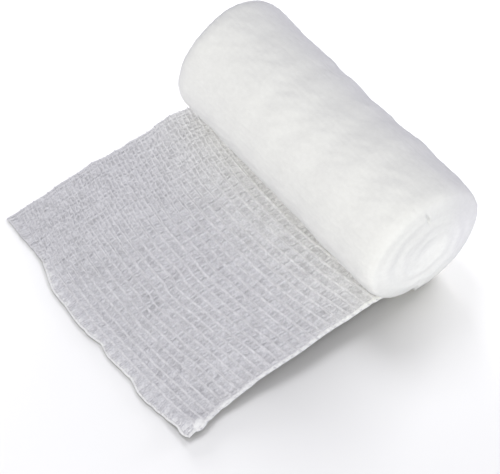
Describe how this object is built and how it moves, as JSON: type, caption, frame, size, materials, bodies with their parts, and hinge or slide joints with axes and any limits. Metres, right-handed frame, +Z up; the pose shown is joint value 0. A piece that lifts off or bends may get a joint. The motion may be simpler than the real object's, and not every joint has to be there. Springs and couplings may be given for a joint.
{
  "type": "rolled first aid dressing",
  "caption": "Roll of white conforming gauze bandage lying on its side, with the loose end of the open-weave strip laid flat in front of it.",
  "frame": {"origin": "on the flat strip that the roll rests on, below the middle of the roll", "axes": "+Z up, X along the roll from its far end to its near end, -Y the way the loose end runs"},
  "size_m": [0.0767, 0.085, 0.0319],
  "materials": {
    "wound_gauze": "matt white gauze, many layers deep",
    "sheer_gauze": "matt open-weave gauze, one sheer layer"
  },
  "bodies": {
    "root": {"roll": "wound_gauze", "loose_end": "sheer_gauze"}
  },
  "joints": []
}
